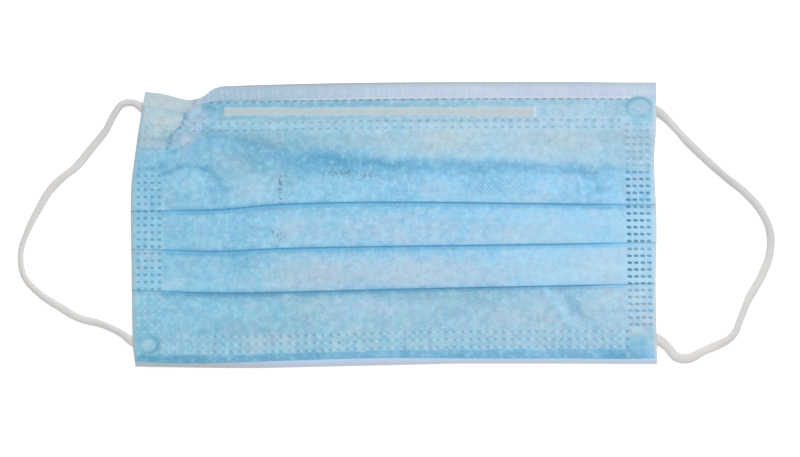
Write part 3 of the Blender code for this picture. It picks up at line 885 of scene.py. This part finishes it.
def put_places(mesh, places):
    mesh.vertices.foreach_set("co", places.astype(np.float32).ravel())
    mesh.update()


def apply_modifier(piece, kind, **settings):
    modifier = piece.modifiers.new(kind.lower(), kind)
    for name, value in settings.items():
        setattr(modifier, name, value)
    with bpy.context.temp_override(object=piece, active_object=piece, selected_objects=[piece]):
        bpy.ops.object.modifier_apply(modifier=modifier.name)


def between(value, low, high):
    return (value > low) & (value < high)


def crumpled(x, y):
    return between(from_ridge(x, y), -0.0022, 0.0070) & (y > 0.0235)


def worked_finely(x, y):
    """Whether the shown face at x, y has details smaller than a cell of the grid."""
    fine = between(curve(HEM_LINE, x) - y, *FINE_BELOW_HEM) & (x > FINE_HEM_START)
    fine |= between(y - curve(CHIN_EDGE, x), *FINE_ABOVE_CHIN)
    fine |= (np.abs(x) > FINE_SIDE) & between(y, *FINE_SIDE_SPAN)
    for ring in RINGS:
        fine |= np.hypot(x - ring.x, y - ring.y) < ring.radius + 0.0010
    for fold in folds_at(x):
        fine |= between(fold - y, -0.0005, 0.0030)
    for crease in CREASES:
        fine |= from_line(crease.points, x, y) < crease.width * MM * 2.2
    return fine


def refine(piece):
    """Cuts cells finer on both faces at the crumple, and on the shown face where it has details."""
    form = bmesh.new()
    form.from_mesh(piece.data)
    flat = form.verts.layers.float_vector["flat"]
    faces = [face for face in form.faces if abs(face.normal.z) > 0.3]
    shown = [min(vertex[flat].z for vertex in face.verts) > 0.5 for face in faces]
    upwards = [face.normal.z > 0 for face in faces]
    x, y, _ = np.array([face.calc_center_median()[:] for face in faces]).T
    chosen = crumpled(x, y) | np.array(shown) & np.array(upwards) & worked_finely(x, y)
    edges = {edge for face, fine in zip(faces, chosen) if fine for edge in face.edges}
    in_order = sorted(edges, key=lambda edge: edge.index)
    bmesh.ops.subdivide_edges(form, edges=in_order, cuts=FINE_CUTS, use_grid_fill=True)
    form.to_mesh(piece.data)
    form.free()


def folded_grid(name, rows_at):
    """A grid folded by its rows and given a wall, thinner at the sides and at its upper end."""
    columns = np.linspace(-HALF_WIDTH, HALF_WIDTH, round(2 * HALF_WIDTH / CELL) + 1)
    rows = rows_at(columns)
    last_column, last_row = len(columns) - 1, len(rows) - 1
    bpy.ops.mesh.primitive_grid_add(x_subdivisions=last_column, y_subdivisions=last_row, size=2)
    piece = bpy.context.object
    piece.name = piece.data.name = name
    mesh = piece.data
    grid_x, grid_y, _ = threes(mesh.vertices, "co").T
    column = np.rint((grid_x + 1) / 2 * last_column).astype(int)
    row = np.rint((grid_y + 1) / 2 * last_row).astype(int)
    x = columns[column]
    y, z, flat = [np.array([part[index] for part in rows])[row, column] for index in range(3)]
    put_places(mesh, np.stack([follow_sides(x, y), y, z], axis=1))
    put_attribute(mesh, "flat", x, flat, np.array([part[3] for part in rows])[row])
    walls = piece.vertex_groups.new(name="wall")
    for column_x, share in zip(columns, wall_share(columns)):
        walls.add(np.flatnonzero(x == column_x).tolist(), share, "REPLACE")
    walls.add(np.flatnonzero(row == last_row).tolist(), END_WALL, "REPLACE")
    thickened = {"thickness": WALL, "offset": 0, "use_even_offset": True}
    apply_modifier(piece, "SOLIDIFY", vertex_group="wall", thickness_vertex_group=0, **thickened)
    piece.vertex_groups.clear()
    return piece


def sheet_of_cloth(name, rows_at):
    """A layer of cloth, folded, cut finer where it needs it, raised and pressed."""
    piece = folded_grid(name, rows_at)
    refine(piece)
    mesh = piece.data
    places = threes(mesh.vertices, "co")
    normals = threes(mesh.vertex_normals, "vector")
    column_x, _, shown = threes(mesh.attributes["flat"].data, "vector").T
    x, y, _ = places.T.copy()
    below_hem, above_chin = from_hems(x, y, column_x)
    marks = weld_marks(x, y, below_hem, above_chin) + ring_marks(x, y)
    dented = DENT * wall_share(column_x) * (shown > 0.9) * (normals[:, 2] > 0.5)
    places[:, 2] += relief(x, y)
    places[:, 2] -= dented * np.minimum(marks, 1.0)
    put_places(mesh, places)
    bonding = 0.06 + 0.9 * oval(x, y, 33.5, 12, 11, 3) + 0.25 * oval(x, y, 55, -2, 20, 6)
    put_attribute(mesh, "hem", below_hem, above_chin, bonding)
    put_attribute(mesh, "facing", normals[:, 2] > 0.0)
    chosen = {"object": piece, "active_object": piece, "selected_editable_objects": [piece]}
    with bpy.context.temp_override(**chosen):
        bpy.ops.object.shade_smooth_by_angle(angle=math.radians(50))
    mesh.update()
    return piece


# ---------------------------------------------------------------- finishes

LIGHT = 1.24  # how bright a white surface looks on the mask, so that a colour can be given as seen


def seen(red, green, blue):
    """The colour of a surface that looks like this under the scene's light."""
    linear = [((part / 255 + 0.055) / 1.055) ** 2.4 for part in (red, green, blue)]
    return (*[part / LIGHT for part in linear], 1.0)


TEAL = seen(70, 134, 170)
FROST = seen(204, 228, 236)
RING_COLOUR = seen(100, 164, 188)
BOND_PITCH = 0.00150  # between the cloth's own small bonds
FIBRES = ((0.0034, 0.00050, 0.25), (0.0030, 0.00045, -0.50), (0.0022, 0.00055, 1.30))


def nonwoven(finish, flat, fibre, bond):
    """Spunbonded cloth: (height, fibres, bonds), its bonds a staggered grid of small ovals."""
    u, v, _ = finish.parts(flat)
    first, second, third = [finish.streaks(flat, *streak, 3.0) for streak in FIBRES]
    fibres = first + second + third - 1.5
    uneven = finish.clouds(flat, 0.0020, 2.0) * 0.0012
    a = from_middle(u + v + uneven, BOND_PITCH)
    b = from_middle(u - v + uneven, BOND_PITCH)
    bonds = fall(a * a * 1.5 + b * b * 0.7, 0.00022**2, 0.00044**2)
    return fibres * fibre - bonds * bond, fibres, bonds


def uneven_welds(finish, place):
    return finish.clouds(place, 0.0022, 2.0, 0.6) * 0.9 + 0.55


def wire_seen_through(finish, place, x, y):
    """Adds the nose wire seen through the cloth, with the cloth pressed round it."""
    centre_x, centre_y = WIRE_CENTRE
    widening = rise(x, 0.0150, 0.0350) * 0.0002
    half_length, half_width = WIRE_LENGTH / 2 - 0.0003, widening + (WIRE_WIDTH / 2 - 0.0003)
    wavy = finish.clouds(place, 0.0030, 3.0, 0.6) - 0.5
    wire_x = size_of(x - centre_x + 0.0003)
    wire_y = size_of(y + widening - centre_y - 0.0004) + wavy * 0.0003
    ends = fall(wire_x, half_length - 0.0002, half_length + 0.0002)
    wire = ends * fall(wire_y, half_width - 0.0004, half_width + 0.0001)
    smear = finish.streaks(place, 0.0050, 0.0012, 0.0, 4.0)
    covered = finish.blend(smear * 1.6 - 0.3, seen(176, 196, 206), seen(200, 205, 203))
    lower_half = fall(y, centre_y - 0.0010, centre_y - 0.0002)
    covered = finish.blend(lower_half, covered, seen(186, 208, 220))
    pinkish = rise(x, 0.0260, 0.0400) * rise(finish.clouds(place, 0.0016, 3.0, 0.6), 0.45, 0.60)
    covered = finish.blend(pinkish * 0.5, covered, seen(196, 184, 186))
    finish.over(wire * 0.90, covered)
    rim = fall(size_of(wire_y - half_width), 0.0001, 0.0004) * ends
    tip = fall(size_of(x - centre_x + 0.0005 - WIRE_LENGTH / 2), 0.0001, 0.0006)
    tip = tip * fall(wire_y, half_width, half_width + 0.0004)
    finish.over(rim * 0.12 + tip * 0.55, seen(220, 230, 230))


def outer_finish():
    finish = Finish("outer_nonwoven_looks", Specular_IOR_Level=0.3)
    place, flat = finish.place(), finish.attribute("flat")
    x, y, _ = finish.parts(place)
    side, _, _ = finish.parts(flat)
    below_hem, above_chin, bonding = finish.read("hem")
    fill, shade, mauve = finish.read("tint")
    weld, cream, grey = finish.read("mark")
    hollow, across, sharp = finish.read("fold")
    height, fibres, bonds = nonwoven(finish, flat, 0.00004, 0.00002)
    warmth = finish.clouds(flat, 0.0070, 6.0, 0.80) - 0.5
    depth = finish.clouds(place, 0.0090, 6.0, 0.75) - 0.5
    speckle = finish.clouds(place, 0.0021, 2.0, 0.6) - 0.5
    upright = finish.streaks(place, 0.0060, 0.0010, 1.50, 2.0) - 0.5
    hue = finish.clouds(flat, 0.0036, 3.0, 0.8) - 0.5
    light = depth * 0.85 + fibres * 0.60 + upright * 0.35
    # the cloth, from dull to sky blue, then paler (its tone and painted light), cyan, mauve,
    # cream, and deeper (its tone and painted shade)
    finish.colour = finish.blend(fill + warmth * 0.4, seen(152, 196, 214), seen(148, 205, 240))
    finish.over(light - shade, seen(190, 216, 228))
    finish.over(warmth * 1.6 + hue * 1.7 - mauve, seen(120, 200, 232))
    finish.over(mauve - warmth * 1.7 - hue * 1.9 + fibres * 0.4, seen(184, 203, 228))
    finish.over(cream, seen(202, 210, 206))
    finish.over(shade - light, seen(92, 162, 197))
    finish.over(speckle * 1.25, seen(190, 242, 255))
    finish.over(speckle * -1.1, seen(104, 150, 190))
    # the two narrow panels are brightest at the right
    bright = rise(side, 0.0340, 0.0440) * 0.22 + rise(side, 0.0765, 0.0810) * 0.18
    bright = bright * rise(y, -0.0218, -0.0198) * fall(y, 0.0030, 0.0066)
    finish.over(bright, seen(172, 226, 255))
    # painted light in the crevices under the folds, standing in for light through the cloth
    finish.over(hollow, seen(122, 213, 260))
    patchy = rise(finish.clouds(place, 0.0030, 2.0, 0.6), 0.25, 0.55)
    finish.over(bonding * patchy * 0.5, seen(108, 176, 214))
    finish.over(bonds * bonding * patchy, seen(182, 226, 246))
    wire_seen_through(finish, place, x, y)
    # the weld marks, a painted highlight on the raised cloth between the chin's, and the rings
    marks = weld_marks(x, y, below_hem, above_chin)
    uneven = uneven_welds(finish, place)
    finish.over(marks * weld * uneven, TEAL)
    finish.over(marks * weld * -1, FROST)
    gaps = dashes(x + CHIN_WELDS.pitch / 2, above_chin, CHIN_WELDS)
    finish.over(gaps * uneven * 0.30, FROST)
    rings = ring_marks(x, y) * uneven
    finish.over(rings * 0.85, RING_COLOUR)
    # wear, painted shade along the crumple's crease, and the cut edges of the sides
    specks = rise(finish.clouds(place, 0.0008, 1.0, 0.5), 0.50, 0.60)
    finish.over(grey * specks, seen(92, 124, 144))
    broken = rise(finish.clouds(place, 0.0024, 2.0, 0.6), 0.36, 0.60)
    wander = (finish.clouds(place, 0.0007, 1.0) - 0.5) * 0.0008
    thin = fall(size_of(across + wander), 0.00004, 0.00030)
    finish.over(thin * sharp * broken * 0.8, seen(96, 117, 134))
    rim = rise(size_of(side), HALF_WIDTH - 0.0019, HALF_WIDTH - 0.0002)
    edge = finish.blend(rise(side, -0.01, 0.01), seen(162, 184, 188), seen(206, 216, 222))
    finish.over(rim * 0.7, edge)
    roughness = 0.78 - marks * 0.25 - bonds * 0.12
    return finish.done(roughness, height - marks * 0.00006 - rings * 0.00005)


def lining_finish():
    finish = Finish("inner_nonwoven_looks", Specular_IOR_Level=0.3)
    place, flat = finish.place(), finish.attribute("flat")
    x, y, _ = finish.parts(place)
    _, _, turned = finish.parts(flat)
    below_hem, above_chin, _ = finish.read("hem")
    upwards, _, _ = finish.read("facing")
    height, fibres, bonds = nonwoven(finish, flat, 0.00004, 0.00003)
    drift = finish.clouds(flat, 0.0130, 4.0, 0.7)
    blotch = finish.clouds(place, 0.0035, 4.0, 0.7)
    upright = finish.streaks(place, 0.0060, 0.0009, math.pi / 2, 2.0)
    # the turn along the nose edge, with the crumple's flap at its left
    finish.colour = finish.blend(rise(x, -0.0480, 0.0200), seen(160, 191, 212), seen(190, 207, 225))
    finish.over((drift - 0.45) * 2.5, seen(186, 194, 224))
    finish.over((0.48 - blotch) * 3.0, seen(168, 200, 218))
    finish.over((upright - 0.42) * 1.4 + fibres * 0.4, seen(210, 220, 234))
    finish.over(bonds * 0.25, seen(216, 224, 236))
    flap = finish.blend((blotch - 0.35) * 3.0, seen(178, 200, 211), seen(200, 211, 217))
    finish.over(fall(x, -0.0700, -0.0610), flap)
    lit_edge = rise(below_hem, 0.0046, 0.0053) * rise(x, -0.0600, -0.0500)
    finish.over(lit_edge * 0.6, seen(224, 230, 240))
    uneven = uneven_welds(finish, place)
    finish.over(dashes(x, below_hem, NOSE_WELD) * uneven * 0.45, TEAL)
    welded = rise(x, 0.0785, 0.0800) * rise(below_hem, 0.0040, 0.0050)
    finish.over(welded, seen(178, 206, 223))
    finish.over(ring_marks(x, y) * rise(y, 0.0400, 0.0410) * 0.8, RING_COLOUR)
    # the back
    paler = (drift - 0.45) * 2.0 + fibres * 0.4
    plain = finish.blend(paler, seen(208, 217, 226), seen(222, 228, 235))
    plain = finish.blend(bonds * 0.35, plain, seen(196, 206, 217))
    finish.colour = finish.blend(turned, plain, finish.colour)
    # the strip in front of the chin edge
    from_edge = above_chin + (x / (2 * HALF_WIDTH) + 0.5) * CHIN_DRIFT
    east = rise(x, -0.0700, -0.0300)
    upper = finish.blend(east, seen(154, 188, 206), seen(184, 215, 244))
    lower = finish.blend(east, seen(178, 185, 190), seen(194, 196, 210))
    strip = finish.blend(rise(from_edge, 0.0002, 0.0020), lower, upper)
    strip = finish.blend(fibres * 0.5, strip, seen(204, 214, 228))
    finish.over(upwards * fall(from_edge, 0.0026, 0.0032), strip)
    # painted shade on the rounded turn along the nose edge
    finish.over(fall(below_hem, 0.0006, 0.0024) * 0.5, seen(172, 186, 195))
    finish.over(fall(below_hem, 0.0002, 0.0008) * 0.7, seen(160, 166, 176))
    return finish.done(0.8 - bonds * 0.1, height)


def elastic_finish():
    finish = Finish("ear_loop_elastic_looks", Specular_IOR_Level=0.2)
    raised, _, _ = finish.read("knit")
    place = finish.place()
    x, y, _ = finish.parts(place)
    fuzz = finish.clouds(place, 0.0004, 2.0, 0.7)
    # paler on the knit's raised ribs, darker with painted shade in its grooves
    paler = raised * 0.8 + fuzz * 0.3
    finish.colour = finish.blend(paler, seen(192, 190, 188), seen(234, 233, 231))
    finish.over(finish.clouds(place, 0.0090, 2.0) * 0.4, seen(224, 218, 215))
    # greyer at the top of a loop: painted shade
    right = rise(x, -0.0100, 0.0100)
    stretched = rise(y + right * 0.0340, 0.0180, 0.0360)
    finish.over(stretched * (right * 0.06 + 0.13), seen(150, 150, 151))
    return finish.done(0.85, fuzz * 0.00005)


def wire_finish():
    finish = Finish("wire_cover_looks", Specular_IOR_Level=0.5)
    grain = finish.streaks(finish.place(), 0.0080, 0.0003, 0.0)
    finish.colour = finish.blend(grain, seen(196, 198, 196), seen(216, 216, 210))
    return finish.done(grain * 0.15 + 0.42, grain * 0.00003)


# ---------------------------------------------------------------- the ear loops

STEP = 0.00018  # from one ring of points to the next along a loop
WALES = 10  # ribs round the elastic
POINTS_PER_WALE = 4
STITCH = 0.0009
RIB = 0.00006
CHEVRON = 0.00004
SECTION = 1.35e-6  # half the width times half the thickness, which holds as the elastic stretches
THINNEST, THICKEST = 0.0008, 0.0012  # half the thickness
PRESSED_HALF = 0.00045  # half the thickness of a loop's end, welded flat to the lining
PRESSED_WIDER = 0.0003
PRESSED_LENGTH = (0.0050, 0.0110)  # where a loop's end stops being flat and is round again
WELDED_LENGTH = 0.0042
LIFTED_LENGTH = 0.0060  # over which a loop comes down from its weld to the surface
# The twist's two waves: radians, and metres along the loop for each radian of the wave.
SLOW_TWIST = (0.45, 0.0061)
QUICK_TWIST = (0.25, 0.0023)
SMOOTHED = 31  # rings over which the height is evened out
LAID = 0.00003  # gap under a loop, so that it lies on the surface and not in it
EVENING_GAP = 0.00004  # and a little more, for the places that evening out lowers
LEFT_WIDTHS = (
    (0.0, 0.0024), (0.12, 0.0024), (0.30, 0.0029), (0.42, 0.0027), (0.52, 0.0020), (0.62, 0.0020),
    (0.75, 0.0027), (0.88, 0.0025), (1.0, 0.0024),
)
RIGHT_WIDTHS = (
    (0.0, 0.0026), (0.15, 0.0028), (0.35, 0.0027), (0.50, 0.0028), (0.62, 0.0029), (0.70, 0.0024),
    (0.78, 0.0029), (0.88, 0.0033), (1.0, 0.0027),
)


def step_lengths(points):
    return np.linalg.norm(np.diff(points, axis=0), axis=1)


def ear_loop(name, route, widths, phase):
    """A tube of knitted elastic laid on the surface along its route, a little flat and twisted."""
    route = np.array(route)
    lengths = np.concatenate([[0], np.cumsum(step_lengths(route))])
    count = round(lengths[-1] / STEP) + 1
    along = np.linspace(0, lengths[-1], count)
    line = curve(list(zip(lengths, route)), along)
    tangent = np.gradient(line, axis=0)
    tangent /= np.linalg.norm(tangent, axis=1)[:, None]
    aside = np.stack([-tangent[:, 1], tangent[:, 0]], axis=1)
    # half the width and thickness, and the twist
    half = curve(widths, along / lengths[-1]) / 2
    free = rise(np.minimum(along, lengths[-1] - along), *PRESSED_LENGTH)
    thin = PRESSED_HALF + (np.clip(SECTION / half, THINNEST, THICKEST) - PRESSED_HALF) * free
    half = half + PRESSED_WIDER * (1 - free)
    twist = SLOW_TWIST[0] * np.sin(along / SLOW_TWIST[1] + phase)
    twist += QUICK_TWIST[0] * np.sin(along / QUICK_TWIST[1] + 2 * phase)
    twist *= free
    # the knitted section, across and up at each ring
    sides = WALES * POINTS_PER_WALE
    angle = 2 * math.pi * np.arange(sides) / sides
    wale = angle * WALES / (2 * math.pi)
    lean = np.abs(2 * (wale % 1.0) - 1)
    stitch = along[:, None] / STITCH + 0.5 * lean[None, :]
    knit = RIB * (1 - lean[None, :] ** 2) + CHEVRON * np.cos(2 * math.pi * stitch)
    wide = (half[:, None] - RIB + knit) * np.cos(angle)
    tall = (thin[:, None] - RIB + knit) * np.sin(angle)
    across = wide * np.cos(twist)[:, None] - tall * np.sin(twist)[:, None]
    up = wide * np.sin(twist)[:, None] + tall * np.cos(twist)[:, None]
    height = np.pad(LAID - up.min(axis=1), SMOOTHED // 2, mode="edge")
    height = np.convolve(height, np.ones(SMOOTHED) / SMOOTHED, mode="valid") + EVENING_GAP
    points = np.empty((count, sides, 3))
    points[:, :, :2] = line[:, None] + across[..., None] * aside[:, None]
    points[:, :, 2] = height[:, None] + up
    # the ends are raised to the lining's back, where they are welded
    for from_end in (along, lengths[-1] - along):
        x, y, z = points[from_end < WELDED_LENGTH].T
        lining = ground_at(y) + relief(x, y) - (LAYER_HALF + WALL / 2) * PRESSED
        raised = np.min(lining - z) - LAID
        raised = raised * fall(from_end, WELDED_LENGTH, WELDED_LENGTH + LIFTED_LENGTH)
        height = height + raised
        points[:, :, 2] += raised[:, None]
    index = np.arange(count * sides).reshape(count, sides)
    ahead = np.roll(index, -1, axis=1)
    quads = np.stack([index[:-1], ahead[:-1], ahead[1:], index[1:]], axis=-1).reshape(-1, 4)
    faces = quads.tolist() + [index[0][::-1].tolist(), index[-1].tolist()]
    mesh = bpy.data.meshes.new(name)
    mesh.from_pydata(points.reshape(-1, 3).tolist(), [], faces)
    piece = add_object(name, mesh)
    mesh.shade_smooth()
    deep = (knit + CHEVRON) / (RIB + 2 * CHEVRON)
    put_attribute(mesh, "knit", deep.ravel())
    path = [(x, y, z) for (x, y), z in zip(line[::6], height[::6])]
    path.append((*line[-1], height[-1]))
    return piece, path, float(step_lengths(np.array(path)).sum())


# ---------------------------------------------------------------- the camera and the light

VIEW_WIDTH = 0.26667
VIEW_CENTRE = (0.00195, -0.0014)
CAMERA_HEIGHT = 2.0
SENSOR = 36.0
WHITE = (1.0, 1.0, 1.0, 1.0)
FLOOR_COLOUR = (0.93, 0.93, 0.93, 1.0)
FLOOR_GLOW = 0.35
ROOM_LIGHT = 0.80
SOFTBOX_PLACE = (0.22, 0.42, 0.62)
SOFTBOX_SIZE = 0.55
SOFTBOX_POWER = 3.6


def make_camera():
    data = bpy.data.cameras.new("camera")
    data.sensor_width = SENSOR
    data.lens = SENSOR * CAMERA_HEIGHT / VIEW_WIDTH
    data.clip_start, data.clip_end = 0.01, 20.0
    camera = add_object("camera", data)
    camera.location = (*VIEW_CENTRE, CAMERA_HEIGHT)
    bpy.context.scene.camera = camera


def make_light():
    world = bpy.data.worlds.new("studio")
    bpy.context.scene.world = world
    world.use_nodes = True
    background = world.node_tree.nodes["Background"].inputs
    background["Color"].default_value = WHITE
    background["Strength"].default_value = ROOM_LIGHT
    data = bpy.data.lights.new("softbox", "AREA")
    data.shape = "DISK"
    data.size = SOFTBOX_SIZE
    data.energy = SOFTBOX_POWER
    softbox = add_object("softbox", data)
    softbox.location = SOFTBOX_PLACE
    softbox.rotation_euler = (-softbox.location).to_track_quat("-Z", "Y").to_euler()
    bpy.context.scene.view_settings.view_transform = "Standard"


def make_floor():
    bpy.ops.mesh.primitive_plane_add(size=8.0)
    floor = bpy.context.object
    floor.name = floor.data.name = "floor"
    finish = Finish(
        "floor_looks",
        Specular_IOR_Level=0.0,
        Base_Color=FLOOR_COLOUR,
        Roughness=1.0,
        Emission_Color=WHITE,
        Emission_Strength=FLOOR_GLOW,
    )
    floor.data.materials.append(finish.material)


# ---------------------------------------------------------------- putting it together


def main():
    make_camera()
    make_light()
    make_floor()
    elastic = elastic_finish()
    loops = (
        ("left_ear_loop", "ear_loop_left", LEFT_ROUTE, LEFT_WIDTHS, 0.8),
        ("right_ear_loop", "ear_loop_right", RIGHT_ROUTE, RIGHT_WIDTHS, 2.1),
    )
    for name, node, route, widths, phase in loops:
        loop, path, length = ear_loop(name, route, widths, phase)
        loop.data.materials.append(elastic)
        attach(loop, "root")
        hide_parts(node)
    lining = sheet_of_cloth("lining_cloth", lining_rows)
    lining.data.materials.append(lining_finish())
    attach(lining, "root")
    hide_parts("inner_layer")
    outer = sheet_of_cloth("outer_cloth", outer_rows)
    paint(outer.data)
    outer.data.materials.append(outer_finish())
    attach(outer, "root")
    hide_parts("outer_layer")
    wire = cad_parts["nose_wire"]
    wire.data.materials.clear()
    wire.data.materials.append(wire_finish())


main()
